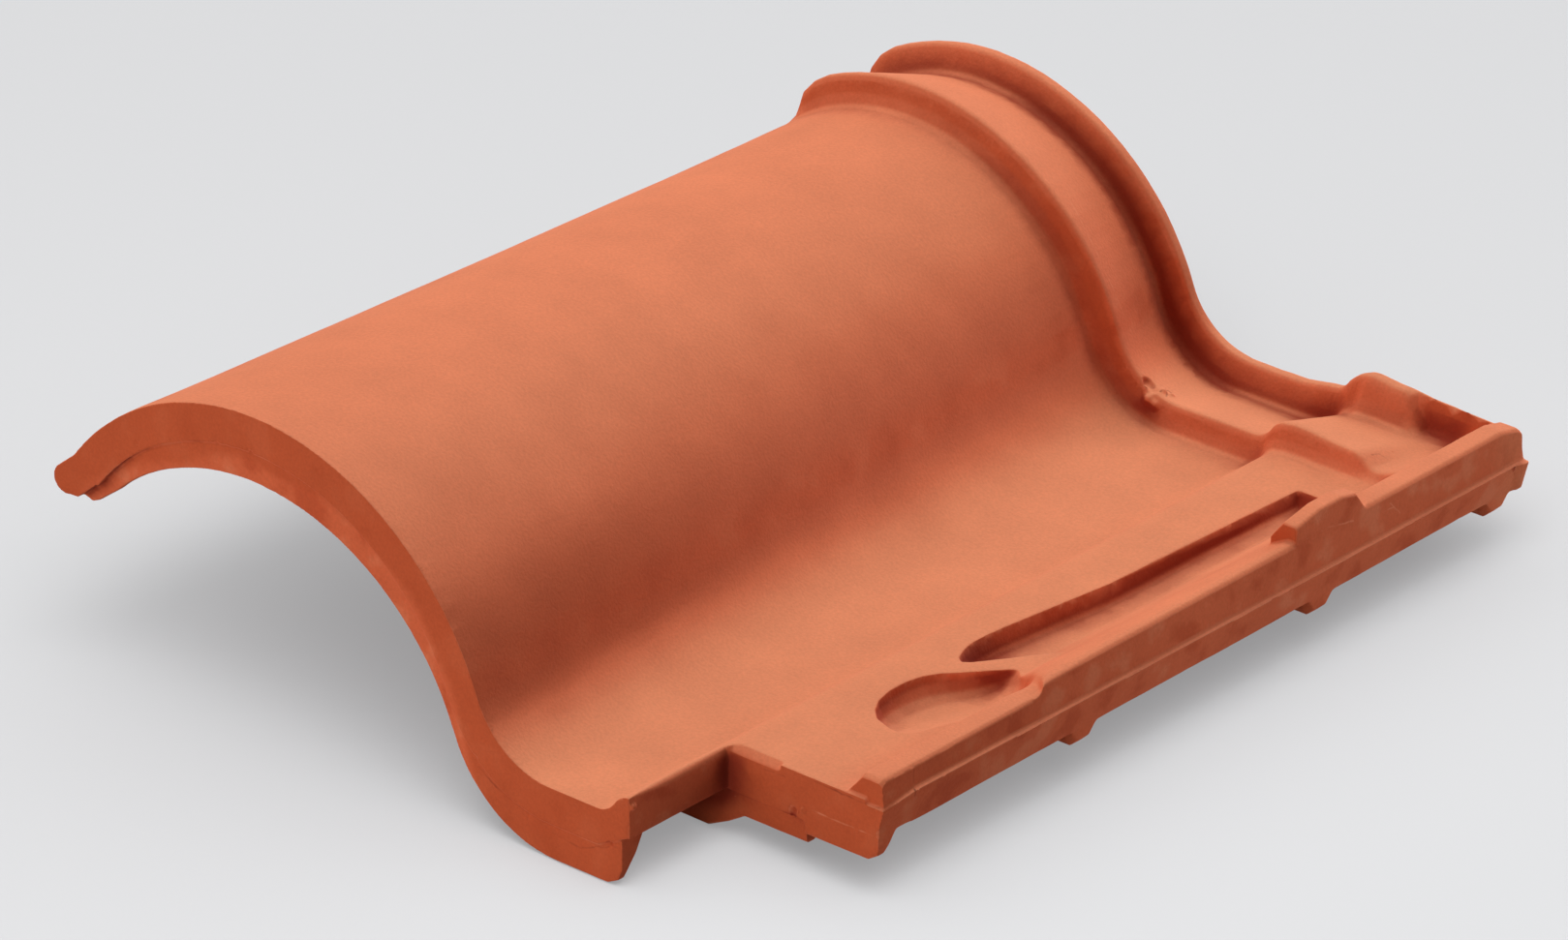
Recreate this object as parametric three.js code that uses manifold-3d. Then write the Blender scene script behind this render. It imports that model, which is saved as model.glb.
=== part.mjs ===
// Interlocking S-shaped clay roof tile: one pressed and fired piece.
// X runs across the tile, from the roll's axis towards the side lock; Y runs up the slope, from
// the tail to the head; Z is up from the level surface that the tile lies on. Millimetres.

import * as THREE from 'three';
import { mergeVertices } from 'three/addons/utils/BufferGeometryUtils.js';
import Module from 'manifold-3d';

const wasm = await Module();
wasm.setup();

// ---- driving dimensions ----

const tileLength = 400; // tail to head
const wall = 13; // thickness of the shell
const tailBand = 14.5; // and of its front edge at the tail

const rollRadiusTail = 109; // outer radius of the roll at the tail
const rollRadiusHead = 90.3; // and at the head, so that the next tile's tail covers it
const rollSag = 1.2; // its line sags this much between them
const rollAxisShift = -3.9; // sideways shift of the roll's axis at the head
const rollEdgeAngle = -52.6; // where the roll's outer edge is, in degrees from the crown
const flankAngle = 70; // where the roll turns over into the valley
const valleyRadiusTail = 34.6;
const valleyRadiusHead = 41.5;
const edgeBeadRadius = 5.8; // rounded bead along the roll's outer edge
const edgeBeadOut = 4.3;
const edgeBeadDrop = 10.8;
const edgeBeadHeel = 4.6; // its underside runs on level from its round for this far

const panHeight = 28.4; // top of the pan over the level surface
const marginStart = 156; // the pan's right margin climbs to the side strip
const marginRun = 15.5;
const marginRise = 8.6;
const stripTilt = 0.5; // the strip climbs a little towards the lip
const tileEdge = 239.8; // outer side face, from the roll's axis

const lipFoot = 222; // inner foot of the side lip
const lipFootWide = 213; // and beside the long groove
const lipTopWidth = 9;
const lipTopWide = 4; // its flat top beside the long groove, above a broad round
const lipRound = 1.2;
const lipHeightTail = 46; // crest heights of the side lip: low as far as the pocket, then high
const lipHeight = 50.3;
const lipHeightEnd = 48;
const lipMiddleStart = 80; // from the notch
const lipStepRun = 1;
const lipFrontRun = 23; // the high lip's front slants this far towards the head
const lipFrontLeft = 210;
const lipFrontSlope = 3.5;
const lipSetBack = 1.2; // the lip starts a little behind the strip's front
const ledgeHeightFront = 35.7; // mould-joint ledge along the side face: it climbs, then falls again
const ledgeHeightTail = 38.6;
const ledgeHeightHead = 36;
const ledgeClimb = 18;
const ledgeFallEnd = 0.625; // share of the tile's length
const ledgeWidth = 1.6;
const sideDraft = 3; // slope of the side face below the ledge, and above it
const lipDraft = 0.8;
const ledgeFlare = 1.6; // the ledge stands out farther at the head corner
const ledgeFlareLength = 6;

const lockBlockStart = 129; // raised block on the lip, from the head
const lockBlockLength = 40;
const lockBlockHeight = 59;
const lockBlockFront = 56.5;
const lockBlockBack = 52;
const lockBlockBase = 12; // widths of the block
const lockBlockTop = 6.5;

const notchX = 171; // corner notch that clears the neighbouring tile
const notchDepth = 50;
const notchRounding = 5; // of the notch's upper long edge
const stripChamfer = 2.4; // broken front edge of the side strip
const stripChamferLength = 22;

const rimRadius = 98.2; // underside of the tail rim beneath the roll
const rimAxisOffset = -2;
const rimValleyRadius = 48.6;
const rimEndAngle = -42; // the round of the rim goes this far up the left side
const rimTipIn = 4.8; // its lowest point there, from the roll's outer edge
const rimTipDrop = 18.2;
const rimLength = 12.5;
const rimSetBack = 1.2; // the rim stands behind the shell's front edge
const rimSetBackEnd = 4; // and farther behind it at the roll's outer edge
const rimShort = 4.5; // the rim stops short of the notch
const rimCorner = 7;
const rimProfile = [[0, 0.4], [0.07, 0], [0.33, 0], [0.7, 4.8], [1, 11]]; // foot, rounded to its back
const notchUnder = 20.7; // lower edge of the shell beside the notch

const crossRimStart = 128; // transverse rim beneath the pan and the strip, behind the notch
const crossRimThickness = 12;
const crossRimPanFoot = 1;
const crossRimStripFoot = 9.6;
const crossRimSetBack = 2.2;
const crossRimBand = 19.5;
const cornerFootStart = 203;
const cornerFootLength = 10;
const cornerFootHeight = 14.6;

const weatherRibFoot = 58; // transverse weather rib, from the head
const weatherRibBack = 43; // it slopes off behind its crest, and dips beside the lip
const weatherRibHeights = [[0, 11.5], [60, 11], [120, 9.4], [174, 9.8], [201, 8.3], [211, 3.8], [223, 6.3]];
const headRibFaces = { // rib along the head edge: its foot and its crest, from the head
  plain: [15, 7.5],
  pad: [19, 7.5], // thicker on the strip
  thin: [9, 5], // and thin beside the lip
};
const headRibPad = [169, 191, 203]; // where its left side begins, and its softer right side
const headRibRound = 5; // its back, rounded down to the head
const headRibEdge = 0.3; // share of its height left there
const headRibHeights = [
  [60, 10], [112, 10.8], [132, 10.3], [144, 10.7], [157, 12.8], [164, 11.7], [176, 14.2], [188, 13.1],
  [205, 11.7], [228, 10.8],
];
const ribFaceRun = 7.5; // from the weather rib's foot to its crest, and to the end of its crest
const ribCrestRun = 9;
const ribProfile = [ // share of its height by share of the way to its crest: hollow foot, round crest
  [0, 0], [0.3, 0.1], [0.55, 0.42], [0.75, 0.8], [0.88, 0.95], [1, 1],
];
const weatherRibEnds = [-58.2, -39]; // the ribs rise out of the roll between these places
const headRibEnds = [-61, -45];

const sideFootLength = 20; // feet under the side lock
const sideFootWidth = 13;
const sideFootHeight = 16.2;
const sideFootPlaces = [109, 238]; // middles, from the notch
const lastSideFoot = 11; // and of the last one, from the head

const nibThickness = 14; // hanging nibs, with their middles this far from the head
const nibFromHead = 20;
const nibWidth = 34;
const panNibX = 160;
const rollNibFoot = 20;

const pocketDepth = 7.8; // drain pocket scooped out beside the lip and under its step
const pocketOutline = [ // from the notch: left edge, right edge, share of the depth
  [44, 205, 208, 0], [47, 196, 212, 0.4], [51, 191.5, 214, 0.7], [57, 188, 216, 0.9], [65, 186, 219, 1],
  [73, 186, 223, 1], [80, 187.5, 227, 1], [86, 191, 228.5, 1], [91, 196, 225, 0.95], [96, 200.5, 219, 0.85],
  [100, 204, 214.5, 0.65], [104.5, 208.5, 210, 0.1],
];
const pocketProfile = [ // its floor from the left edge to the right one: share of the depth
  [0, -0.1], [0.03, 0.4], [0.1, 0.8], [0.22, 1], [0.45, 0.9], [0.7, 0.6], [0.9, 0.28], [1, -0.05],
];
const grooveStart = 97; // long side groove, from the notch
const grooveFromHead = 75;
const grooveDepth = 7.2;
const grooveDepthEnd = 5;
const grooveLeft = 184.5;
const grooveTaper = 11;
const drainEdge = 221; // it reaches under the lip up to here

const arcSteps = 30; // facets
const smallArcSteps = 5;
const panSteps = 6;
const stripSteps = 22;
const rollSteps = 6; // stations along the tile: up to the weather rib, behind its crest and at the head
const slopeSteps = 4;
const headSteps = 15;

// ---- outlines ----

const { lerp, clamp, smoothstep, degToRad: rad, radToDeg: deg } = THREE.MathUtils;
const stripHeight = panHeight + marginRise;
const stripUnder = stripHeight - wall;
const stripLevel = stripHeight + stripTilt;
const lipCrest = tileEdge - ledgeWidth - lipDraft - lipTopWidth;
const lipClear = lipHeight + wall;
const shares = (count) => Array.from({ length: count }, (_, i) => i / count);
const headY = (distance) => tileLength - distance;
const notchY = (distance) => notchDepth + distance;
const point = (x, z) => new THREE.Vector2(x, z);

// Points of one arc, measured from the vertical, clockwise as seen from the tail.
function arc(centreX, centreZ, radius, from, to, steps) {
  const curve = new THREE.EllipseCurve(
    centreX, centreZ, radius, radius, rad(90 - from), rad(90 - to), to > from);
  return curve.getPoints(steps);
}

// Roll and valley: two arcs that meet on the flank, pushed outwards by an offset.
function sCurve({ axisX, radius, valleyRadius, bottom, edgeAngle }, offset) {
  const drop = Math.cos(rad(flankAngle));
  const axisZ = bottom + valleyRadius * (1 - drop) - radius * drop;
  const valleyX = axisX + (radius + valleyRadius) * Math.sin(rad(flankAngle));
  const roll = arc(axisX, axisZ, radius + offset, edgeAngle, flankAngle, arcSteps);
  const valley = arc(
    valleyX, bottom + valleyRadius, valleyRadius - offset, 180 + flankAngle, 180, smallArcSteps * 3);
  return [...roll, ...valley.slice(1)];
}

function skinSize(y) {
  const share = y / tileLength;
  return {
    axisX: rollAxisShift * share,
    radius: lerp(rollRadiusTail, rollRadiusHead, share) - rollSag * 4 * share * (1 - share),
    valleyRadius: lerp(valleyRadiusTail, valleyRadiusHead, share),
    bottom: panHeight,
    edgeAngle: rollEdgeAngle,
  };
}

// The pan's margin: two equal arcs that climb from the pan to the side strip.
function margin() {
  const halfRun = marginRun / 2;
  const halfRise = marginRise / 2;
  const radius = (halfRun ** 2 + halfRise ** 2) / marginRise;
  const turn = deg(2 * Math.atan(halfRise / halfRun));
  const low = arc(marginStart, panHeight + radius, radius, 180, 180 - turn, smallArcSteps);
  const high = arc(marginStart + marginRun, stripHeight - radius, radius, -turn, 0, smallArcSteps);
  return [...low, ...high];
}

// Height read off [place, height] pairs, level before the first and after the last.
function heightAt(x, pairs, ease = smoothstep) {
  const after = pairs.findIndex(([place]) => place > x);
  if (after <= 0) return pairs.at(after)[1];
  const [from, low] = pairs[after - 1];
  const [to, high] = pairs[after];
  return lerp(low, high, ease(x, from, to));
}

const evenly = (x, from, to) => (x - from) / (to - from);

// A rib's face towards the tail, as a share of its height: from its foot to its crest.
function ribFace(y, foot, run) {
  return heightAt((y - foot) / run, ribProfile, evenly);
}

const ribEnd = (x, [start, full]) => {
  const short = 1 - clamp(evenly(x, start, full), 0, 1);
  return Math.sqrt(1 - short ** 2);
};

function weatherRib(x, y) {
  const foot = headY(weatherRibFoot);
  const slope = 1 - clamp(evenly(y, foot + ribCrestRun, foot + weatherRibBack), 0, 1);
  return ribEnd(x, weatherRibEnds) * heightAt(x, weatherRibHeights) * ribFace(y, foot, ribFaceRun) * slope;
}

function headRib(x, y) {
  const { plain, pad, thin } = headRibFaces;
  const [padLeft, padRight, padEnd] = headRibPad;
  const face = ([foot, crest]) => ribFace(y, headY(foot), foot - crest);
  const beside = face(x < padRight ? plain : thin);
  const onPad = smoothstep(x, padLeft, padLeft + headRibRound) * (1 - smoothstep(x, padRight, padEnd));
  const round = Math.max(evenly(y, headY(headRibRound), headY(0)), 0);
  const share = lerp(beside, face(pad), onPad) * lerp(1, headRibEdge, round ** 2);
  return ribEnd(x, headRibEnds) * heightAt(x, headRibHeights) * share;
}

// Upper skin at one place along the tile: the ribs stand out from the curve, and straight up beyond it.
function upperSide(y) {
  const curve = sCurve(skinSize(y), 0);
  const outer = sCurve(skinSize(y), 1);
  const level = (count, from, to, z) => shares(count).slice(1)
    .map((share) => point(lerp(from, to, share), z));
  const beyond = [
    ...level(panSteps, curve.at(-1).x, marginStart, panHeight),
    ...margin(),
    ...level(stripSteps, marginStart + marginRun, lipFoot + lipTopWidth, stripLevel),
    point(lipFoot + lipTopWidth, stripLevel),
  ];
  return [
    ...curve.map((p, i) => p.clone().lerp(outer[i], weatherRib(p.x, y) + headRib(p.x, y))),
    ...beyond.map((p) => point(p.x, p.y + weatherRib(p.x, y) + headRib(p.x, y))),
  ];
}

function underside(y, thickness) {
  return [
    ...sCurve(skinSize(y), -thickness),
    point(marginStart, panHeight - thickness),
    point(notchX - 1, notchUnder),
    point(notchX + 1, notchUnder),
    point(lipFoot, stripUnder),
    point(lipFoot + lipTopWidth, stripUnder),
  ];
}

function rollEdge(y) {
  return sCurve(skinSize(y), 0)[0];
}

// ---- solids ----

function toSolid(corners, faces) {
  const geometry = new THREE.BufferGeometry();
  geometry.setAttribute('position', new THREE.Float32BufferAttribute(corners, 3));
  geometry.setIndex(faces);
  const merged = mergeVertices(geometry, 1e-4);
  return new wasm.Manifold(new wasm.Mesh({
    numProp: 3,
    vertProperties: new Float32Array(merged.attributes.position.array),
    triVerts: new Uint32Array(merged.index.array),
  }));
}

// The two axes that a ring is flattened to, so that a counterclockwise ring faces the third.
function flatAxes(ring) {
  const size = new THREE.Box3().setFromPoints(ring).getSize(new THREE.Vector3());
  const axes = { x: ['y', 'z'], y: ['z', 'x'], z: ['x', 'y'] };
  const [thin] = Object.keys(axes).sort((a, b) => size[a] - size[b]);
  return { across: axes[thin], along: thin };
}

// Solid through closed rings of equal point counts, with both ends filled in.
function loft(rings) {
  const { across, along } = flatAxes(rings[0]);
  const flat = (ring) => ring.map((p) => point(p[across[0]], p[across[1]]));
  const backwards = rings[0][0][along] > rings[rings.length - 1][0][along];
  const ordered = backwards ? rings.toReversed() : rings;
  const turned = THREE.ShapeUtils.isClockWise(flat(ordered[0]));
  const loops = ordered.map((ring) => (turned ? ring.toReversed() : ring));
  const count = loops[0].length;
  const faces = [];
  for (let start = 0; start < (loops.length - 1) * count; start += count) {
    for (let i = 0; i < count; i++) {
      const a = start + i;
      const b = start + (i + 1) % count;
      faces.push(a, b, b + count, a, b + count, a + count);
    }
  }
  const last = (loops.length - 1) * count;
  const firstCap = THREE.ShapeUtils.triangulateShape(flat(loops[0]), []);
  const lastCap = THREE.ShapeUtils.triangulateShape(flat(loops[loops.length - 1]), []);
  firstCap.forEach(([a, b, c]) => faces.push(a, c, b));
  lastCap.forEach(([a, b, c]) => faces.push(last + a, last + b, last + c));
  return toSolid(loops.flat().flatMap((p) => p.toArray()), faces);
}

const crosswise = (y, outline) => outline.map((p) => new THREE.Vector3(p.x, y, p.y));
const lengthwise = (x, outline) => outline.map((p) => new THREE.Vector3(x, p.x, p.y));
const inPlan = (z, outline) => outline.map((p) => new THREE.Vector3(p.x, p.y, z));

const along = (sections) => loft(sections.map(([y, outline]) => crosswise(y, outline)));

// Closed outline moved inwards by the same distance at each corner.
function inset(outline, distance) {
  const side = THREE.ShapeUtils.isClockWise(outline) ? -1 : 1;
  return outline.map((p, i) => {
    const before = outline.at(i - 1);
    const after = outline[(i + 1) % outline.length];
    const run = after.clone().sub(before).normalize();
    return point(p.x - side * run.y * distance, p.y + side * run.x * distance);
  });
}

// ---- shell, ribs and edges ----

function shell() {
  const foot = headY(weatherRibFoot);
  const plain = shares(rollSteps).map((share) => foot * share);
  const weather = ribProfile.map(([run]) => foot + ribFaceRun * run);
  const slope = shares(slopeSteps).map((share) => lerp(foot + ribCrestRun, foot + weatherRibBack, share));
  const head = [...shares(headSteps), 1].map((share) => headY(headRibFaces.pad[0] * (1 - share)));
  return along([...plain, ...weather, ...slope, ...head].map((y) => {
    const thickness = y === 0 ? tailBand : wall;
    return [y, [...upperSide(y), ...underside(y, thickness).reverse()]];
  }));
}

// Roll's outer edge thickened to a bead, flat from the roll to its round.
function edgeBead() {
  return along([0, tileLength].map((y) => {
    const edge = rollEdge(y);
    const inner = sCurve(skinSize(y), -wall)[0];
    const middle = point(edge.x - edgeBeadOut, edge.y - edgeBeadDrop);
    return [y, [
      edge,
      ...arc(middle.x, middle.y, edgeBeadRadius, -45, -190, smallArcSteps * 2),
      point(middle.x + edgeBeadRadius / 4 + edgeBeadHeel, middle.y - edgeBeadRadius * 0.9),
      point(inner.x + 1, inner.y),
      point(inner.x, edge.y - wall / 4),
    ]];
  }));
}

// Rim that hangs behind the shell's front edge: one cross-section for each point of the S-shape.
function tailRim() {
  const under = {
    axisX: rimAxisOffset, radius: rimRadius, valleyRadius: rimValleyRadius, bottom: 0, edgeAngle: rimEndAngle,
  };
  const edge = rollEdge(0);
  const end = notchX - rimShort;
  const rows = sCurve(skinSize(0), -1).map((top, i) => [top, sCurve(under, 0)[i]]);
  const tip = point(edge.x + rimTipIn, edge.y - rimTipDrop);
  rows.unshift(
    [point(edge.x - 3, edge.y - edgeBeadDrop), point(edge.x - 0.5, tip.y + 1.6)],
    [point(edge.x - 1.5, edge.y - wall / 3), tip],
    [point(edge.x, edge.y - 1.5), point(tip.x + 3.4, tip.y + 1.6)],
  );
  rows.push(
    [point(end - rimCorner, panHeight), point(end - rimCorner, 0)],
    [point(end - rimCorner / 3, panHeight), point(end - rimCorner / 3, rimCorner / 3)],
    [point(end, panHeight), point(end, rimCorner)],
  );
  const setBack = (x) => lerp(rimSetBackEnd, rimSetBack, smoothstep(x, edge.x, edge.x + rimRadius / 2));
  return loft(rows.map(([top, low]) => {
    const front = setBack(low.x);
    const points = rimProfile.map(([share, lift]) => {
      const p = low.clone().lerp(top, Math.min(lift / low.distanceTo(top), 0.9));
      return new THREE.Vector3(p.x, lerp(front, rimLength, share), p.y);
    });
    return [...points, new THREE.Vector3(top.x, rimLength, top.y), new THREE.Vector3(top.x, front, top.y)];
  }));
}

// Transverse rim under the pan and the strip, with the corner foot at its outer end.
function crossRim() {
  const end = tileEdge - sideDraft;
  const inner = notchX + 4;
  const foot = (lift) => [
    point(crossRimStart, panHeight - wall + 1),
    point(crossRimStart + 12, crossRimPanFoot + lift),
    point(notchX - 12, crossRimPanFoot + lift),
    point(notchX - 3, (crossRimPanFoot + crossRimStripFoot) / 2 + lift),
    point(inner, crossRimStripFoot + lift),
    point(cornerFootStart + 0.5, crossRimStripFoot + lift),
    point(cornerFootStart + 0.5, stripUnder + 1),
    point(notchX, stripUnder),
    point(marginStart, panHeight - wall + 1),
  ];
  const back = notchY(crossRimThickness);
  const rim = along([
    [notchY(crossRimSetBack), foot(1)],
    [notchY(crossRimSetBack + 1), foot(0)],
    [back - 5, foot(0)],
    [back, foot(5)],
  ]);
  const band = (low) => [
    point(notchX - 1, stripUnder + 1),
    point(notchX - 1, low),
    point(end, low),
    point(end, stripUnder + 1),
  ];
  return rim.add(along([[notchDepth, band(crossRimBand)], [notchY(5), band(crossRimBand)]]));
}

function cornerFoot() {
  const end = tileEdge - sideDraft;
  const section = (lift) => [
    point(cornerFootStart, stripUnder + 1),
    point(cornerFootStart + 1, cornerFootHeight + lift),
    point(end - 5, cornerFootHeight + lift),
    point(end - 0.5, cornerFootHeight + lift + 2.8),
    point(end, stripUnder + 1),
  ];
  const back = notchY(cornerFootLength);
  return along([
    [notchDepth, section(0.6)],
    [notchY(0.6), section(0)],
    [back - 6, section(0)],
    [back - 3, section(2.5)],
    [back, section(stripUnder - cornerFootHeight - 3)],
  ]);
}

// ---- side lock ----

const ledgeHeight = (y) => {
  const top = lerp(ledgeHeightTail, ledgeHeightHead, Math.min(y / (tileLength * ledgeFallEnd), 1));
  return lerp(ledgeHeightFront, top, Math.min((y - notchDepth) / ledgeClimb, 1));
};

function lipSection(y, crest, foot, topWidth = lipTopWidth) {
  const crestEnd = lipCrest + lipTopWidth;
  const top = point(crestEnd - topWidth, crest);
  const middle = point(foot, stripLevel).lerp(top, 0.5);
  return [y, [
    point(foot - 13, stripUnder + 1),
    point(foot - 13, stripHeight - pocketDepth),
    point(foot - 7, stripHeight - pocketDepth / 2),
    point(foot, stripLevel),
    point(middle.x, middle.y + (foot === lipFootWide ? lipRound : 0)),
    top,
    point(crestEnd - 1.5, crest),
    point(crestEnd, crest - 1.5),
    point(tileEdge - ledgeWidth, ledgeHeight(y) - 1),
    point(tileEdge - sideDraft - 1, stripUnder + 1),
  ]];
}

function sideLip() {
  const step = notchY(lipMiddleStart);
  const blockEnd = headY(lockBlockStart) + lockBlockLength;
  return along([
    lipSection(notchY(lipSetBack), lipHeightTail - 1.5, lipFoot),
    lipSection(notchY(lipSetBack) + 2, lipHeightTail, lipFoot),
    lipSection(notchY(ledgeClimb), lipHeightTail, lipFoot),
    lipSection(step, lipHeightTail, lipFoot),
    lipSection(step + lipStepRun, lipHeight, lipFootWide, lipTopWide),
    lipSection(blockEnd - 2, lipHeight, lipFootWide, lipTopWide),
    lipSection(blockEnd + 4, lipHeight, lipFoot - 2),
    lipSection(headY(12), lipHeight, lipFoot - 2),
    lipSection(headY(2), lipHeightEnd, lipFoot - 2),
    lipSection(headY(0), lipHeightEnd - 1.6, lipFoot - 2),
  ]);
}

// Lower half of the side face, below the mould joint.
function sideBody() {
  const section = (y, flare = 0) => [y, [
    point(lipFoot - 9, stripUnder),
    point(lipFoot - 9, stripHeight - pocketDepth),
    point(lipFoot + 1, ledgeHeight(y) - 0.5),
    point(tileEdge + flare - 0.6, ledgeHeight(y)),
    point(tileEdge + flare, ledgeHeight(y) - 0.6),
    point(tileEdge + flare - sideDraft, stripUnder),
  ]];
  return along([
    section(notchDepth, -ledgeWidth / 2),
    section(notchY(ledgeClimb)),
    section(tileLength / 4),
    section(tileLength * ledgeFallEnd),
    section(headY(ledgeFlareLength)),
    section(headY(ledgeFlareLength / 2), ledgeFlare),
    section(headY(1), ledgeFlare),
    section(headY(0), ledgeFlare / 2),
  ]);
}

function lockBlock() {
  const start = headY(lockBlockStart);
  const right = tileEdge - ledgeWidth - 1;
  const section = (top) => [
    point(right - lockBlockBase, stripHeight + 4),
    point(right - lockBlockBase, lipHeight - 1),
    point(right - lockBlockTop, top),
    point(right - 1.2, top),
    point(right, top - 1.2),
    point(right, stripHeight + 4),
  ];
  return along([
    [start, section(lockBlockFront - 0.8)],
    [start + 1, section(lockBlockFront)],
    [start + lockBlockLength * 0.35, section(lockBlockHeight)],
    [start + lockBlockLength * 0.65, section(lockBlockHeight)],
    [start + lockBlockLength * 0.85, section(lerp(lockBlockBack, lockBlockHeight, 0.75))],
    [start + lockBlockLength * 0.95, section(lockBlockBack)],
    [start + lockBlockLength, section(lipHeight - 1)],
  ]);
}

// Feet under the side lock: blunt towards the tail, sloping off towards the head.
function sideFeet() {
  const outline = (y, shrink) => [
    [-0.5, 1.1], [-0.36, 0.38 + shrink], [-0.24, shrink], [0.08, shrink], [0.26, 0.5 + shrink], [0.5, 1.1],
  ].map(([reach, rise]) => point(y + sideFootLength * reach, lerp(sideFootHeight, stripUnder, rise)));
  const right = tileEdge - sideDraft;
  const middles = [...sideFootPlaces.map((place) => notchY(place)), headY(lastSideFoot)];
  return middles.map((y) => loft([
    lengthwise(right - sideFootWidth, outline(y, 0.4)),
    lengthwise(right - sideFootWidth + 3, outline(y, 0)),
    lengthwise(right - 4, outline(y, 0)),
    lengthwise(right - 0.2, outline(y, 0.45)),
  ]));
}

// ---- nibs ----

function panNib() {
  const plan = [
    point(panNibX - nibWidth / 2, headY(nibFromHead) - nibThickness / 2),
    point(panNibX + nibWidth / 2, headY(nibFromHead) - nibThickness / 2),
    point(panNibX + nibWidth / 2, headY(nibFromHead) + nibThickness / 2),
    point(panNibX - nibWidth / 2, headY(nibFromHead) + nibThickness / 2),
  ];
  return loft([inPlan(0, inset(plan, 1.5)), inPlan(1.5, plan), inPlan(stripUnder + 2, plan)]);
}

// Web that carries the roll's outer edge at the head.
function rollNib() {
  const edge = rollEdge(headY(nibFromHead));
  const outline = [
    point(edge.x - 2, edge.y - edgeBeadDrop),
    point(edge.x + nibWidth, edge.y + nibWidth * 0.8),
    point(edge.x + nibWidth * 1.1, edge.y),
    point(edge.x + rollNibFoot + 3, edge.y - nibWidth),
    point(edge.x + rollNibFoot, 0),
    point(edge.x + 3, 0),
    point(edge.x, edge.y - nibWidth),
  ];
  const middle = headY(nibFromHead);
  return along([
    [middle - nibThickness / 2, inset(outline, 1.5).map((p) => point(p.x, Math.max(p.y, 1.5)))],
    [middle - nibThickness / 2 + 2, outline],
    [middle + nibThickness / 2 - 2, outline],
    [middle + nibThickness / 2, inset(outline, 1.5).map((p) => point(p.x, Math.max(p.y, 1.5)))],
  ]);
}

// ---- cuts ----

function notch() {
  const far = tileEdge + wall;
  const plan = [point(notchX, -wall), point(far, -wall), point(far, notchDepth), point(notchX, notchDepth)];
  return loft([inPlan(-wall, plan), inPlan(stripHeight * 3, plan)]);
}

// Material outside the rounded upper edge of the notch, sharper towards the tail.
function notchEdge() {
  const section = (radius) => [
    ...arc(notchX - radius, stripHeight - radius + 0.2, radius, 0, 90, smallArcSteps),
    point(notchX + 2, stripHeight - radius),
    point(notchX + 2, stripHeight + 3),
    point(notchX - radius, stripHeight + 3),
  ];
  return along([
    [-1, section(1)],
    [notchDepth * 0.4, section(notchRounding)],
    [notchDepth, section(notchRounding)],
  ]);
}

function stripEdge() {
  const outline = [
    point(notchDepth - 1, stripHeight - stripChamfer - 1),
    point(notchDepth - 1, stripHeight + 4),
    point(notchY(stripChamfer + 4), stripHeight + 4),
  ];
  const start = notchX;
  return loft([lengthwise(start, outline), lengthwise(start + stripChamferLength, outline)]);
}

// Outline drawn in by a share of the way to the nearest point of a line.
function drawnIn(outline, line, share) {
  return outline.map((p) => {
    const nearest = line.closestPointToPoint(new THREE.Vector3(p.x, p.y, 0), true, new THREE.Vector3());
    return point(lerp(p.x, nearest.x, share), lerp(p.y, nearest.y, share));
  });
}

// Solid down from above the strip through outlines in plan, each with its own depth.
function hollow(steps) {
  const rings = steps.map(([outline, depth]) => outline
    .map((p) => new THREE.Vector3(p.x, p.y, stripLevel - depth(p.y))));
  return loft([inPlan(lipClear, steps[0][0]), ...rings]);
}

// Surface of the strip and the low lip.
function lowLip(x) {
  return lerp(stripLevel, lipHeightTail, clamp(evenly(x, lipFoot, lipCrest), 0, 1));
}

// Scoop with a steep left wall; its floor climbs gently to the low lip.
function drainPocket() {
  return along(pocketOutline.map(([place, left, right, share]) => {
    const floor = pocketProfile.map(([reach, depth]) => {
      const x = lerp(left, right, reach);
      return point(x, lowLip(x) - pocketDepth * depth * share);
    });
    return [notchY(place), [point(left, lipClear), ...floor, point(right, lipClear)]];
  }));
}

// What the slanted front of the high lip leaves free above the low one.
function lipFront() {
  const start = notchY(lipMiddleStart);
  const far = tileEdge + wall;
  const left = lipFootWide - 1;
  const above = [left, lipFoot, lipCrest, far].map((x) => point(x, lowLip(x)));
  const outline = [...above, point(far, lipClear), point(left, lipClear)];
  const right = lipCrest + lipTopWidth + lipDraft;
  const plan = (back) => [
    point(right, start - 1),
    point(right, start + back),
    point(lipFrontLeft, start + lipFrontRun + back),
    point(lipFrontLeft, start - 1),
  ];
  const slanted = loft([
    inPlan(stripLevel - 1, plan(0)),
    inPlan(lipHeight, plan(lipFrontSlope)),
    inPlan(lipClear, plan(lipFrontSlope)),
  ]);
  return along([[start, outline], [start + lipFrontRun * 2, outline]]).intersect(slanted);
}

function sideGroove() {
  const front = notchY(grooveStart);
  const back = headY(grooveFromHead);
  const nose = new THREE.SplineCurve([
    point(grooveLeft + 24, front + 24), point(grooveLeft + 14, front + 9), point(grooveLeft + 6, front),
    point(grooveLeft + 1, front + 8), point(grooveLeft, front + 20),
    point(grooveLeft + 3, front + 46), point(grooveLeft + grooveTaper * 0.65, front + 78),
  ]);
  const plan = [
    ...nose.getPoints(arcSteps / 2),
    point(grooveLeft + grooveTaper, back),
    point(drainEdge, back),
    point(drainEdge, front + 40),
  ];
  const bottom = new THREE.Line3(
    new THREE.Vector3(drainEdge - 20, front + 30, 0), new THREE.Vector3(drainEdge - 10, back - 15, 0));
  const full = (y) => lerp(grooveDepth, grooveDepthEnd, smoothstep(y, front, back)) + stripTilt;
  return hollow([[0, 0], [0.12, 0.8], [0.22, 1]]
    .map(([share, depth]) => [drawnIn(plan, bottom, share), (y) => depth * full(y)]));
}

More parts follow.
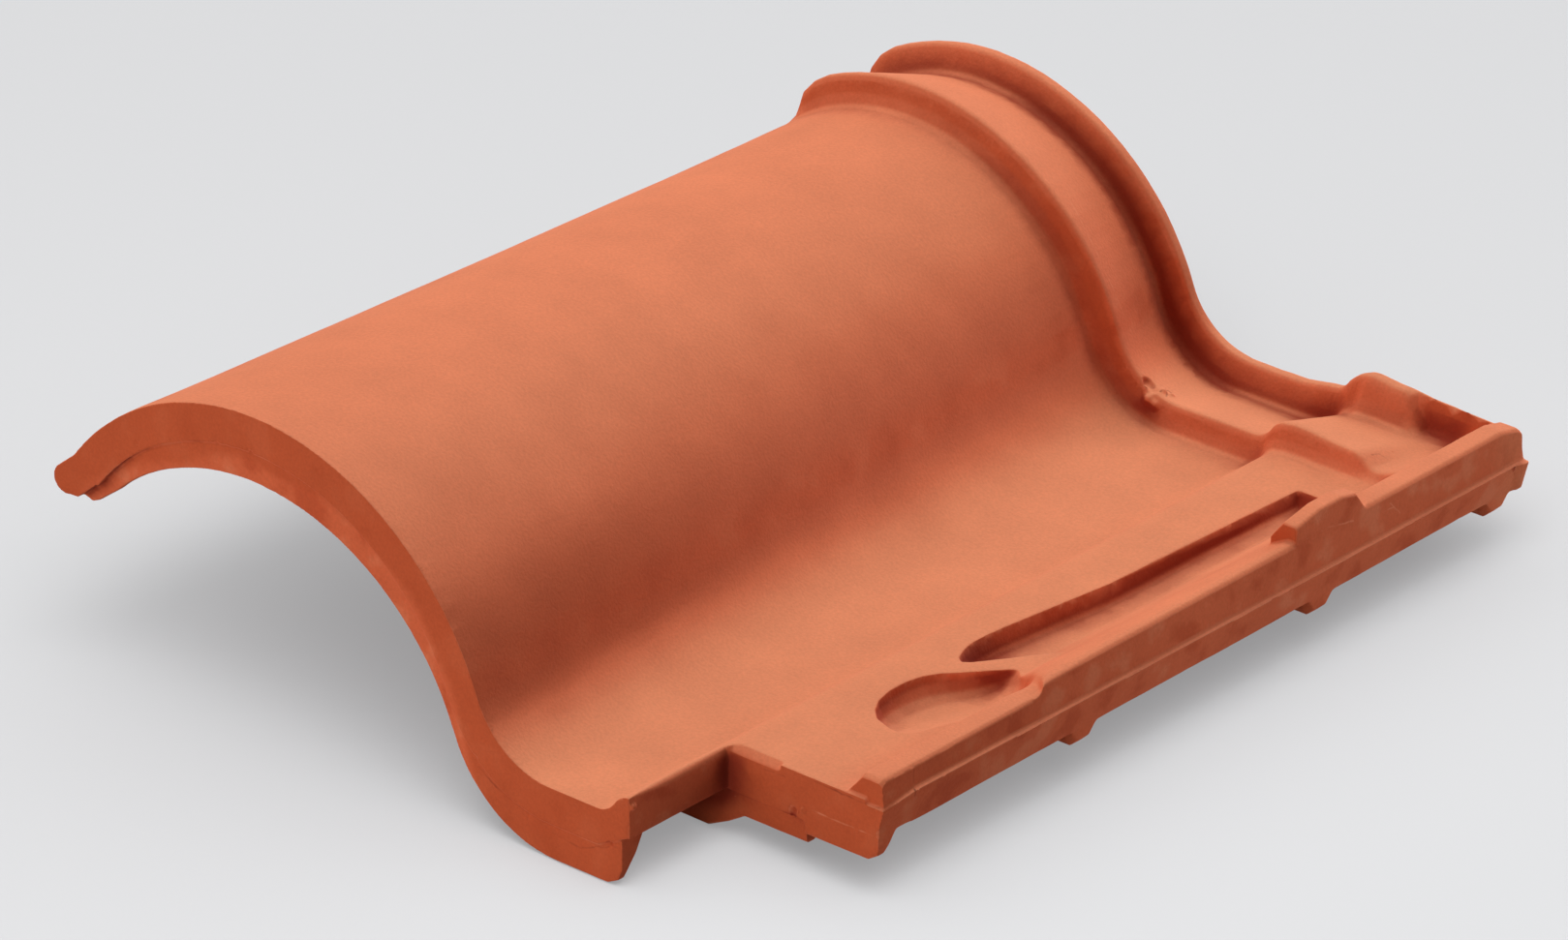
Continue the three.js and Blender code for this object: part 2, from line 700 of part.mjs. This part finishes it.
function roofTile() {
  const body = [edgeBead(), tailRim(), sideLip(), sideBody(), lockBlock()]
    .reduce((whole, piece) => whole.add(piece), shell().subtract(sideGroove()));
  const cut = [lipFront(), drainPocket(), notch(), notchEdge(), stripEdge()]
    .reduce((whole, tool) => whole.subtract(tool), body);
  return [crossRim(), cornerFoot(), ...sideFeet(), panNib(), rollNib()]
    .reduce((whole, piece) => whole.add(piece), cut);
}

// ---- scene graph ----

function toGeometry(solid) {
  const mesh = solid.getMesh();
  const geometry = new THREE.BufferGeometry();
  geometry.setAttribute('position', new THREE.BufferAttribute(mesh.vertProperties, 3));
  geometry.setIndex(new THREE.BufferAttribute(mesh.triVerts, 1));
  geometry.computeVertexNormals();
  geometry.computeBoundingBox();
  return geometry;
}

const clay = new THREE.MeshStandardMaterial({ color: 0xc9704d, roughness: 0.9, metalness: 0 });
const geometry = toGeometry(roofTile());
const { min, max } = geometry.boundingBox;
const tile = new THREE.Mesh(geometry, clay);
tile.name = 'roof_tile';
tile.position.set(-(min.x + max.x) / 2, -(min.y + max.y) / 2, -min.z);

const group = new THREE.Group();
group.add(tile);

export default group;
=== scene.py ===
import math

import bpy
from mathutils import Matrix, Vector
from mathutils.bvhtree import BVHTree


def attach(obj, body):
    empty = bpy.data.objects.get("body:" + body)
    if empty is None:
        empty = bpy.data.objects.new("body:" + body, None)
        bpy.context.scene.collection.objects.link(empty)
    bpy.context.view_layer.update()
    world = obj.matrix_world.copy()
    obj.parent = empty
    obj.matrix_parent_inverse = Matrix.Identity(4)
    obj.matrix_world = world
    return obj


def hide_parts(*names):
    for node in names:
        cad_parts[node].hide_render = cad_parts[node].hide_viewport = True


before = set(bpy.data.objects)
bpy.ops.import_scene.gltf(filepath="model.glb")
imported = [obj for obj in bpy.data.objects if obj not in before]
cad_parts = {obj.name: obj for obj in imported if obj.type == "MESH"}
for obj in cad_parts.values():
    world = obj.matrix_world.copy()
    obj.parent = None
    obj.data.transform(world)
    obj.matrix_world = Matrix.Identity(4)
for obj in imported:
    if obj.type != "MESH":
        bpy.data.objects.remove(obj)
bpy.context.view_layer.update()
print("frame loaded")

# places on the tile are written as across, along, up:
# millimetres from the roll's axis, from the tail and from the floor
rollAxisX = -72.36
tailY = -200.0
mmPerMetre = 1000


def onTile(across, along, up):
    return Vector((across + rollAxisX, along + tailY, up)) / mmPerMetre


# small helpers

def deselectAll():
    if bpy.context.mode != "OBJECT":
        bpy.ops.object.mode_set(mode="OBJECT")
    bpy.ops.object.select_all(action="DESELECT")


def pick(piece):
    deselectAll()
    piece.select_set(True)
    bpy.context.view_layer.objects.active = piece


def applyModifier(piece, kind, **settings):
    pick(piece)
    modifier = piece.modifiers.new(kind.title(), kind)
    for key, value in settings.items():
        setattr(modifier, key, value)
    bpy.ops.object.modifier_apply(modifier=modifier.name)


# the pressed tile: a copy of the frame's node, worn soft along its edges

tileBody = {
    "voxel": 0.0006,
    "lumpVoxel": 0.0004,
    "softening": 1,  # rounds of smoothing, which round the fired edges
    "smoothFactor": 0.5,
    "swell": 0.0005,  # slow unevenness of the pressed faces
    "swellSize": 0.045,
    "inward": 0.95,  # the unevenness goes into the clay, so the tile keeps its size
    "ripple": 0.00016,
    "rippleSize": 0.009,
    "triangles": 190000,
    "mergeDistance": 0.00001,
    "lumpDetail": 3,  # subdivisions of a chip's or crumb's ball
    "roughness": 0.2,  # how far a chip or crumb is from round
    "roughSpread": 0.3,
    "lumpRounds": 2,
    "chipSeed": 5,
    "crumbSeed": 40,
    "lipStart": (226, 142, 47),  # the high part of the lip starts here, rounded by hand
    "lipStartReach": 17.0,
    "lipStartRounds": 120,
    "skinFrom": (-82, 6, -100),  # the roll's skin and the pan, as a box
    "skinTo": (172, 322, 300),
    "skinFade": 8.0,
    "skinRounds": 40,
    "hollowRays": 18,
    "hollowTurn": 2.39996,  # radians from one ray to the next
    "hollowLift": 0.0005,  # rays start this far off the clay
    "hollowBlur": 4,
    "hollowReach": 0.024,  # how far a wall may stand and still shelter the clay
}
chips = [  # bitten out of edges and faces: place, radius in mm
    ((237.6, 67, 46.2), 1.7),
    ((237.8, 116, 46.4), 1.6),
    ((237.9, 204, 50.2), 1.5),
    ((238.6, 338.5, 49.4), 1.5),
    ((107.4, 351.0, 42.6), 3.2),
    ((109.8, 349.6, 41.2), 2.4),
    ((199, 49.4, 21.8), 2.2),
    ((-55.5, -0.5, 94.6), 1.3),
    ((-38.6, -0.6, 101.2), 1.2),
    ((-17.2, -0.5, 107.0), 1.3),
    ((-1.2, -0.6, 108.5), 1.7),
    ((30.5, -0.8, 111.9), 1.5),
    ((68.7, 0.6, 75.7), 1.3),
    ((101.1, -0.4, 27.6), 1.3),
    ((161.6, 0.4, 15.5), 1.6),
    ((124.1, 0.6, 13.1), 1.2),
    ((236.6, 49.8, 25.8), 1.4),
]
crumbs = [  # lumps that stuck on while the clay was wet
    ((109.2, 347.4, 36.6), 2.6),
    ((112.0, 347.6, 35.6), 2.2),
    ((111.4, 352.6, 38.6), 1.8),
    ((114.2, 354.6, 37.6), 1.2),
    ((167.8, 1.6, 33.4), 2.0),
    ((170.6, 2.0, 33.0), 1.8),
    ((-66.0, 0.6, 88.2), 0.9),
    ((-47.0, 0.6, 99.2), 0.9),
    ((203.5, 50.6, 23.6), 1.6),
]


def copyOfNode(nodeName, newName):
    pick(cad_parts[nodeName])
    bpy.ops.object.duplicate()
    piece = bpy.context.object
    piece.name = newName
    bpy.ops.object.mode_set(mode="EDIT")
    bpy.ops.mesh.select_all(action="SELECT")
    bpy.ops.mesh.remove_doubles(threshold=tileBody["mergeDistance"])
    bpy.ops.object.mode_set(mode="OBJECT")
    return piece


def roughLumps(name, spots, seed):
    lumps = []
    for index, (place, radius) in enumerate(spots):
        deselectAll()
        size = radius / mmPerMetre
        bpy.ops.mesh.primitive_ico_sphere_add(
            subdivisions=tileBody["lumpDetail"], radius=size, location=onTile(*place))
        lumps.append(bpy.context.object)
        bpy.ops.object.mode_set(mode="EDIT")
        bpy.ops.mesh.select_all(action="SELECT")
        bpy.ops.transform.vertex_random(
            offset=tileBody["roughness"] * radius / mmPerMetre, uniform=tileBody["roughSpread"],
            normal=1.0, seed=seed + index)
        bpy.ops.mesh.vertices_smooth(factor=tileBody["smoothFactor"], repeat=tileBody["lumpRounds"])
        bpy.ops.object.mode_set(mode="OBJECT")
    deselectAll()
    for lump in lumps:
        lump.select_set(True)
    bpy.context.view_layer.objects.active = lumps[0]
    bpy.ops.object.join()
    lumps[0].name = name
    # those that touch are merged
    applyModifier(lumps[0], "REMESH", mode="VOXEL", voxel_size=tileBody["lumpVoxel"])
    return lumps[0]


def unevenTexture(name, size):
    texture = bpy.data.textures.new(name, type="CLOUDS")
    texture.noise_scale = size
    texture.noise_depth = 1
    return texture


def markHollows(piece):  # stores how sheltered each point is, from 0 to 1, for the painted shade in hollows
    mesh = piece.data
    walls = BVHTree.FromPolygons([v.co for v in mesh.vertices], [f.vertices for f in mesh.polygons])
    count, reach = tileBody["hollowRays"], tileBody["hollowReach"]
    rays = []
    for index in range(count):  # a spiral of rays, densest round the normal
        lean = math.sqrt((index + 0.5) / count)
        turn = index * tileBody["hollowTurn"]
        rays.append(Vector((lean * math.cos(turn), lean * math.sin(turn), math.sqrt(1 - lean * lean))))
    hollow = mesh.attributes.new("hollow", "FLOAT", "POINT")
    values = []
    for vertex in mesh.vertices:
        normal = vertex.normal
        turned = normal.to_track_quat("Z", "Y").to_matrix()
        start = vertex.co + normal * tileBody["hollowLift"]
        shelter = 0
        for ray in rays:
            distance = walls.ray_cast(start, turned @ ray, reach)[3]
            if distance is not None:
                shelter += 1 - distance / reach
        values.append(shelter / count)
    pairs = [edge.vertices[:] for edge in mesh.edges]
    for _ in range(tileBody["hollowBlur"]):  # each point takes on the mean of its neighbours
        total, around = values[:], [1] * len(values)
        for first, second in pairs:
            total[first] += values[second]
            total[second] += values[first]
            around[first] += 1
            around[second] += 1
        values = [amount / number for amount, number in zip(total, around)]
    hollow.data.foreach_set("value", values)


def smoothPart(piece, name, rounds, share):
    group = piece.vertex_groups.new(name=name)
    for vertex in piece.data.vertices:
        weight = min(share(vertex), 1)
        if weight > 0:
            group.add([vertex.index], weight, "REPLACE")
    applyModifier(
        piece, "SMOOTH", factor=tileBody["smoothFactor"], iterations=rounds, vertex_group=name)


def lipStartShare(vertex):  # 1 in the inner half of the reach, then falling to 0
    distance = (vertex.co - onTile(*tileBody["lipStart"])).length * mmPerMetre
    return 2 - 2 * distance / tileBody["lipStartReach"]


def skinShare(vertex):  # the upper skin of the roll and the valley, clear of edges and ribs
    low, high = tileBody["skinFrom"], tileBody["skinTo"]
    inside = min(min(vertex.co - onTile(*low)), min(onTile(*high) - vertex.co)) * mmPerMetre
    return inside / tileBody["skinFade"] if vertex.normal.z > 0 else 0


def makeTile():
    tile = copyOfNode("roof_tile", "tile_clay")
    bites = roughLumps("chips", chips, tileBody["chipSeed"])
    applyModifier(tile, "BOOLEAN", operation="DIFFERENCE", object=bites, solver="EXACT")
    bpy.data.objects.remove(bites)
    lumps = roughLumps("crumbs", crumbs, tileBody["crumbSeed"])
    pick(tile)
    lumps.select_set(True)
    bpy.ops.object.join()
    print("tile chipped", len(tile.data.polygons))
    applyModifier(tile, "REMESH", mode="VOXEL", voxel_size=tileBody["voxel"], use_smooth_shade=True)
    print("tile remeshed", len(tile.data.polygons))
    applyModifier(
        tile, "SMOOTH", factor=tileBody["smoothFactor"], iterations=tileBody["softening"])
    smoothPart(tile, "lipStart", tileBody["lipStartRounds"], lipStartShare)
    for name in ("swell", "ripple"):
        texture = unevenTexture("pressed" + name.title(), tileBody[name + "Size"])
        applyModifier(
            tile, "DISPLACE", texture=texture, texture_coords="LOCAL", strength=tileBody[name],
            mid_level=tileBody["inward"])
    share = tileBody["triangles"] / (2 * len(tile.data.polygons))  # the remesh leaves quads
    applyModifier(tile, "DECIMATE", decimate_type="COLLAPSE", ratio=share)
    smoothPart(tile, "skin", tileBody["skinRounds"], skinShare)
    pick(tile)
    bpy.ops.object.shade_smooth()
    markHollows(tile)
    print("tile worn", len(tile.data.polygons))
    return tile


tile = makeTile()
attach(tile, "root")
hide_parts("roof_tile")


# node helpers

def addNode(tree, kind, links=None, **settings):
    node = tree.nodes.new(kind)
    for key, value in settings.items():
        setattr(node, key, value)
    for socket, value in (links or {}).items():
        target = node.inputs[socket]
        if isinstance(value, bpy.types.NodeSocket):
            tree.links.new(value, target)
        else:
            target.default_value = value
    return node


# fired clay

clay = {
    "uprightShade": (0.650, 0.120, 0.043, 1),  # painted shade: upright faces, cut or pressed off the mould, are darker and redder than faces that look up
    "rawDark": (0.560, 0.088, 0.028, 1),
    "rawPale": (0.680, 0.158, 0.066, 1),
    "tailDark": (0.490, 0.076, 0.021, 1),
    "steep": (0.655, 0.145, 0.060, 1),  # painted shade: pressed faces that stand steep, as on the flank of the roll, are darker
    "pressed": (0.740, 0.219, 0.102, 1),  # painted light: high faces that look up are paler
    "dustAndLight": (0.748, 0.252, 0.120, 1),  # pale dust and painted light on faces that look up, most of all low down in the pan
    "hollowShade": (0.290, 0.030, 0.010, 1),  # painted shade: deep red laid into hollows, by how enclosed they are
    "ledge": (0.900, 0.280, 0.140, 1),  # painted highlight on the mould joint's ledge along the side
    "sideTailShade": (0.70, 0.66, 0.62, 1),  # painted shade: the side is darker, most of all towards the tail
    "sideHeadShade": (0.93, 1.01, 1.09, 1),
    "roughness": 0.85,
    "shine": 0.2,
    "mottle": 0.09,  # how far slow patches change the tone
    "mottleScale": 28.0,
    "patch": 0.11,  # the same for patches about a thumb wide
    "blotchScale": 55.0,
    "grainScale": 900.0,
    "noiseDetail": {"Slow": 4.0, "Blotch": 5.0, "Grain": 3.0},
    "grain": 0.13,  # how far the sand changes the tone
    "grainHeight": 0.00035,
    "grainStrength": 0.6,
    "crackTone": (0.22, 0.030, 0.010, 1),
    "flashTone": (0.780, 0.270, 0.140, 1),
    "flashShare": 0.5,
    "wander": 0.0012,  # how far lines stray from straight
    "wanderScale": 260.0,
    "wanderDetail": 2.0,
    "tailBandWander": 0.02,
    "upWander": 0.15,
}
clayRanges = {  # a mask rises from the first value to the second; two more give its ends
    "pale": (0.02, 0.14),  # blotch
    "dark": (-0.03, -0.16),
    "tailBand": (0.101, 0.101 + 0.006),  # from the roll's axis, where the tail face turns darker
    "tailFace": (-0.8, -0.95, 0.0, 0.8),  # facing along the tile
    "low": (0.115, 0.020),  # height: the pale dust and painted light have gone at the first
    "level": (0.7, 1.0),  # facing up
    "lipLessPale": (0.135, 0.135 + 0.02, 1.0, 0.2),  # across: the lip takes less of the pale dust and painted light
    "steep": (0.25, 0.5),
    "pressed": (0.45, 0.95),
    "shelter": (0.045, 0.20),
    "inland": (0.150, 0.140),  # across: the lip and the side stay free of the painted hollow shade
    "under": (0.030, 0.022),  # height: below it they don't
    "ledge": (0.1664 - 0.0004, 0.1664),
    "ledgeTop": (0.25, 0.6),
    "sideShade": (0.7, 0.9),  # facing the lock side
    "sideLength": (-0.15, 0.03),  # along
    "sideCorner": (0.178, 0.195, 0.0, 0.35),
    "broken": (-0.08, 0.08, 0.15, 0.7),
}
lineMarks = {  # kind: width in mm, then lines through places on the tile
    "flash": (0.55, [
        [(64.0, 356.6, 99.0), (73.5, 354.6, 90.3), (82.0, 354.4, 78.8), (88.7, 355.8, 65.0),
         (92.3, 358.8, 53.5)],
        [(171.2, 52.0, 16.5), (185.5, 52.0, 17.9), (193.6, 51.0, 18.5)],
        [(207.5, 50.0, 25.1), (221.2, 50.0, 24.8), (236.0, 50.0, 24.7)],
        [(237.4, 277.0, 49.8), (237.4, 288.9, 49.8), (237.4, 302.7, 47.3)],
        [(237.6, 319.0, 44.3), (237.6, 325.6, 44.1)],
        [(237.6, 323.4, 46.3), (237.8, 328.8, 40.6)],
        [(155.5, 51.0, 8.5), (166.0, 51.5, 15.7)],
        [(170.8, 1.0, 21.0), (170.8, 24.0, 20.2), (170.8, 47.0, 19.5)],
    ]),
    "crack": (0.7, [
        [(205.0, 354.6, 43.0), (205.2, 358.4, 42.4), (208.6, 359.6, 41.0)],
        [(111.5, 351.2, 39.5), (111.3, 356.0, 38.1), (114.5, 356.7, 37.3)],
        [(109.7, 356.8, 38.9), (113.9, 351.5, 38.0)],
        [(172.3, 49.9, 32.1), (195.6, 49.9, 33.3)],
        [(208.4, 50.0, 36.4), (229.6, 50.0, 35.5), (237.4, 51.2, 36.0)],
        [(236.8, 67.9, 45.3), (239.4, 65.7, 35.5)],
        [(228.6, 140.0, 47.0), (234.3, 139.7, 50.3)],
        [(101.7, 1.2, 23.6), (110.0, 1.2, 18.4), (121.2, 1.0, 14.9), (138.0, 1.2, 10.0),
         (147.7, 1.2, 9.4), (164.0, 1.2, 15.4)],
    ]),
}


def mathNode(tree, operation, *values):
    node = addNode(tree, "ShaderNodeMath", dict(enumerate(values)), operation=operation)
    return node.outputs[0]


def rangeNode(tree, value, low, high, newLow=0.0, newHigh=1.0):
    links = {"Value": value, "From Min": low, "From Max": high, "To Min": newLow, "To Max": newHigh}
    node = addNode(tree, "ShaderNodeMapRange", links, interpolation_type="SMOOTHSTEP")
    return node.outputs["Result"]


def blendColour(tree, share, first, second, kind="MIX"):
    node = addNode(tree, "ShaderNodeMix", data_type="RGBA", blend_type=kind)
    for index, value in ((0, share), (6, first), (7, second)):
        if isinstance(value, bpy.types.NodeSocket):
            tree.links.new(value, node.inputs[index])
        else:
            node.inputs[index].default_value = value
    return node.outputs[2]


def newGroup(name, inputs, outputs):
    group = bpy.data.node_groups.new(name, "ShaderNodeTree")
    for direction, sockets in (("INPUT", inputs), ("OUTPUT", outputs)):
        for socketName, kind in sockets:
            group.interface.new_socket(
                socketName, in_out=direction, socket_type="NodeSocket" + kind)
    given = group.nodes.new("NodeGroupInput").outputs
    return group, given, group.nodes.new("NodeGroupOutput").inputs


def vectorNode(tree, operation, *values, out=0):
    node = addNode(tree, "ShaderNodeVectorMath", dict(enumerate(values)), operation=operation)
    return node.outputs[out]


def scaleNode(tree, vector, amount):
    links = {0: vector, "Scale": amount}
    return addNode(tree, "ShaderNodeVectorMath", links, operation="SCALE").outputs[0]


def makeLineMark():  # how far a place is from the straight run that leaves Start
    inputs = [("Place", "Vector"), ("Start", "Vector"), ("Run", "Vector"), ("Run Share", "Vector")]
    group, given, result = newGroup("lineMark", inputs, [("Distance", "Float")])
    reach = vectorNode(group, "SUBTRACT", given["Place"], given["Start"])
    along = vectorNode(group, "DOT_PRODUCT", reach, given["Run Share"], out=1)
    along = addNode(group, "ShaderNodeClamp", {"Value": along}).outputs[0]
    foot = scaleNode(group, given["Run"], along)
    group.links.new(vectorNode(group, "DISTANCE", reach, foot, out=1), result["Distance"])
    return group


def makeSpread():  # slow, middling and sandy unevenness, each from -0.5 to 0.5
    names = clay["noiseDetail"]
    inputs = [("Place", "Vector")] + [(name + " Scale", "Float") for name in names]
    outputs = [(name, "Float") for name in names]
    group, given, result = newGroup("unevenClay", inputs, outputs)
    for name, detail in names.items():
        links = {"Vector": given["Place"], "Scale": given[name + " Scale"], "Detail": detail}
        noise = addNode(group, "ShaderNodeTexNoise", links).outputs["Fac"]
        group.links.new(mathNode(group, "SUBTRACT", noise, 0.5), result[name])
    return group


def markMask(tree, lineMark, place, kind):
    width, lines = lineMarks[kind]
    nearest = 1.0
    for line in lines:
        for start, end in zip(line, line[1:]):
            run = onTile(*end) - onTile(*start)
            node = addNode(tree, "ShaderNodeGroup", node_tree=lineMark)
            tree.links.new(place, node.inputs["Place"])
            node.inputs["Start"].default_value = onTile(*start)
            node.inputs["Run"].default_value = run
            node.inputs["Run Share"].default_value = run / run.length_squared
            nearest = mathNode(tree, "MINIMUM", node.outputs["Distance"], nearest)
    return rangeNode(tree, nearest, width / mmPerMetre, 0.0)


def makeClay():
    material = bpy.data.materials.new("firedClay")
    material.use_nodes = True
    tree = material.node_tree
    shader = tree.nodes["Principled BSDF"]
    coords = addNode(tree, "ShaderNodeTexCoord")
    place = coords.outputs["Object"]
    facing = addNode(tree, "ShaderNodeSeparateXYZ", {"Vector": coords.outputs["Normal"]}).outputs
    spot = addNode(tree, "ShaderNodeSeparateXYZ", {"Vector": place}).outputs
    hollow = addNode(tree, "ShaderNodeAttribute", attribute_name="hollow").outputs["Fac"]
    uneven = addNode(tree, "ShaderNodeGroup", node_tree=makeSpread())
    tree.links.new(place, uneven.inputs["Place"])
    uneven.inputs["Slow Scale"].default_value = clay["mottleScale"]
    uneven.inputs["Blotch Scale"].default_value = clay["blotchScale"]
    uneven.inputs["Grain Scale"].default_value = clay["grainScale"]
    slow, blotch, sand = (uneven.outputs[name] for name in ("Slow", "Blotch", "Grain"))

    def within(value, name):
        return rangeNode(tree, value, *clayRanges[name])

    def times(first, second):
        return mathNode(tree, "MULTIPLY", first, second)

    # upright faces in the painted shade tone, with blotches where the clay was cut, rubbed or smeared
    uprightShade = blendColour(tree, within(blotch, "pale"), clay["uprightShade"], clay["rawPale"])
    uprightShade = blendColour(tree, within(blotch, "dark"), uprightShade, clay["rawDark"])
    fromAxis = vectorNode(tree, "MULTIPLY", place, (1, 0, 1))
    fromAxis = vectorNode(tree, "DISTANCE", fromAxis, (rollAxisX / mmPerMetre, 0, 0), out=1)
    fromAxis = mathNode(tree, "MULTIPLY_ADD", slow, clay["tailBandWander"], fromAxis)
    band = times(within(fromAxis, "tailBand"), within(facing["Y"], "tailFace"))
    uprightShade = blendColour(tree, band, uprightShade, clay["tailDark"])
    # faces that look up: painted light on the pressed skin, and pale dust with painted light low down
    up = mathNode(tree, "MULTIPLY_ADD", slow, clay["upWander"], facing["Z"])
    # pale dust and painted light on low faces that look up, less on the lip
    dustAndLight = times(within(spot["Z"], "low"), within(up, "level"))
    dustAndLight = times(dustAndLight, within(spot["X"], "lipLessPale"))
    # painted shade and light: steep faces darker, faces that look up paler
    tone = blendColour(tree, within(facing["Z"], "steep"), uprightShade, clay["steep"])
    tone = blendColour(tree, within(up, "pressed"), tone, clay["pressed"])
    tone = blendColour(tree, dustAndLight, tone, clay["dustAndLight"])
    inland = mathNode(tree, "MAXIMUM", within(spot["X"], "inland"), within(spot["Z"], "under"))
    # painted shade: the hollows darken by how enclosed they are
    tone = blendColour(tree, times(within(hollow, "shelter"), inland), tone, clay["hollowShade"])
    # painted highlight: the top of the mould joint's ledge along the side is paler
    ledge = times(within(spot["X"], "ledge"), within(facing["Z"], "ledgeTop"))
    tone = blendColour(tree, ledge, tone, clay["ledge"])
    # painted shade: the side is darker, most of all towards the tail; its head corner is paler
    sideShade = blendColour(tree, within(spot["Y"], "sideLength"), clay["sideTailShade"], clay["sideHeadShade"])
    onSide = within(facing["X"], "sideShade")
    tone = blendColour(tree, onSide, tone, sideShade, "MULTIPLY")
    tone = blendColour(tree, times(onSide, within(spot["Y"], "sideCorner")), tone, clay["dustAndLight"])

    level = mathNode(tree, "MULTIPLY_ADD", slow, clay["mottle"] * 2, 1.0)
    level = mathNode(tree, "MULTIPLY_ADD", blotch, clay["patch"], level)
    level = mathNode(tree, "MULTIPLY_ADD", sand, clay["grain"] * 2, level)
    tone = scaleNode(tree, tone, level)

    # thin marks from the moulds, and cracks that run deep in places only
    links = {"Vector": place, "Scale": clay["wanderScale"], "Detail": clay["wanderDetail"]}
    stray = addNode(tree, "ShaderNodeTexNoise", links).outputs["Color"]
    wander = clay["wander"]
    stray = vectorNode(tree, "MULTIPLY_ADD", stray, (wander,) * 3, (-wander / 2,) * 3)
    bent = vectorNode(tree, "ADD", place, stray)
    lineMark = makeLineMark()
    flash = times(markMask(tree, lineMark, bent, "flash"), clay["flashShare"])
    crack = times(markMask(tree, lineMark, bent, "crack"), within(blotch, "broken"))
    tone = blendColour(tree, flash, tone, clay["flashTone"])
    tone = blendColour(tree, crack, tone, clay["crackTone"])
    tree.links.new(tone, shader.inputs["Base Color"])

    links = {"Height": sand, "Strength": clay["grainStrength"], "Distance": clay["grainHeight"]}
    bump = addNode(tree, "ShaderNodeBump", links)
    tree.links.new(bump.outputs["Normal"], shader.inputs["Normal"])
    shader.inputs["Roughness"].default_value = clay["roughness"]
    shader.inputs["Specular IOR Level"].default_value = clay["shine"]
    return material


tile.data.materials.clear()
tile.data.materials.append(makeClay())
print("clay made")


# floor, light and camera

studio = {
    "floorSize": 9.0,
    "floorSeen": (0.198, 0.199, 0.2025, 1),
    "floorGlow": 1.44,  # the floor's own share, which keeps its shadows pale
    "floorBounce": (0.14, 0.14, 0.14, 1),  # what the floor gives back to the clay
    "floorRoughness": 0.9,
    "skySeen": (0.75, 0.755, 0.765, 1),
    "sky": 0.04,
    "lampDistance": 3,
    "lampSize": 1.6,
    "lampTarget": (0, 0, 0.05),
}
lamps = {  # round: degrees from the tail side towards the lock side; up: degrees above level
    "backSoftbox": {"round": 225, "up": 63, "watts": 64, "on": "tile"},
    "lowBackSoftbox": {"round": 185, "up": 22, "watts": 28, "on": "tile"},
    "frontFill": {"round": 315, "up": 20, "watts": 18, "on": "tile"},
    "lowFrontFill": {"round": 0, "up": 15, "watts": 38, "on": "tile"},
    "sideFill": {"round": 125, "up": 15, "watts": 29, "on": "tile"},
    "overhead": {"round": 0, "up": 89, "watts": 700, "size": 12.0, "on": "floor"},
    "overFront": {"round": 45, "up": 60, "watts": 140, "size": 2.5, "on": "floor"},
}


def seenRays(tree, *kinds):  # 1 for rays that show the surface to the camera
    path = addNode(tree, "ShaderNodeLightPath").outputs
    seen = path["Is Camera Ray"]
    for kind in kinds:
        seen = mathNode(tree, "MAXIMUM", seen, path[kind])
    return seen


def makeFloor():
    deselectAll()
    bpy.ops.mesh.primitive_plane_add(size=studio["floorSize"])
    floor = bpy.context.object
    floor.name = "floor"
    material = bpy.data.materials.new("paleFloor")
    material.use_nodes = True
    tree = material.node_tree
    shader = tree.nodes["Principled BSDF"]
    shader.inputs["Roughness"].default_value = studio["floorRoughness"]
    shader.inputs["Specular IOR Level"].default_value = 0.0
    seen = seenRays(tree, "Is Glossy Ray", "Is Transmission Ray")
    colour = blendColour(tree, seen, studio["floorBounce"], studio["floorSeen"])
    tree.links.new(colour, shader.inputs["Base Color"])
    glow = blendColour(tree, seen, (0, 0, 0, 1), studio["floorSeen"])
    tree.links.new(glow, shader.inputs["Emission Color"])
    shader.inputs["Emission Strength"].default_value = studio["floorGlow"]
    floor.data.materials.append(material)
    return floor


def makeSky():
    world = bpy.data.worlds.new("studioAir")
    bpy.context.scene.world = world
    world.use_nodes = True
    tree = world.node_tree
    seen = seenRays(tree, "Is Glossy Ray")
    colour = blendColour(tree, seen, (studio["sky"],) * 3 + (1,), studio["skySeen"])
    tree.links.new(colour, tree.nodes["Background"].inputs["Color"])


def makeLamp(name, target, lamp):
    turn, lift = math.radians(lamp["round"]), math.radians(lamp["up"])
    toLamp = (math.sin(turn) * math.cos(lift), -math.cos(turn) * math.cos(lift), math.sin(lift))
    place = Vector(toLamp) * studio["lampDistance"]
    deselectAll()
    bpy.ops.object.light_add(type="AREA", location=place)
    light = bpy.context.object
    light.name = name
    light.data.size = lamp.get("size", studio["lampSize"])
    light.data.energy = lamp["watts"]
    aim = Vector(studio["lampTarget"]) - place
    light.rotation_euler = aim.to_track_quat("-Z", "Y").to_euler()
    lit = bpy.data.collections.new(name + "Lights")
    lit.objects.link(target)
    light.light_linking.receiver_collection = lit  # the lamp lights nothing else


cameraSetup = {
    "place": (1.99560, -2.29285, 1.55646),
    "down": 26.34,  # degrees below level
    "round": 41.15,
    "lens": 222.41,
    "sensor": 36,
    "clipEnd": 50,
}


def makeCamera():
    deselectAll()
    turn = (math.radians(90 - cameraSetup["down"]), 0, math.radians(cameraSetup["round"]))
    bpy.ops.object.camera_add(location=cameraSetup["place"], rotation=turn)
    camera = bpy.context.object
    camera.data.lens = cameraSetup["lens"]
    camera.data.sensor_width = cameraSetup["sensor"]
    camera.data.clip_end = cameraSetup["clipEnd"]
    bpy.context.scene.camera = camera


floor = makeFloor()
makeSky()
litPieces = {"tile": tile, "floor": floor}
for name, lamp in lamps.items():
    makeLamp(name, litPieces[lamp["on"]], lamp)
makeCamera()
bpy.context.scene.view_settings.view_transform = "Standard"
print("stage made")
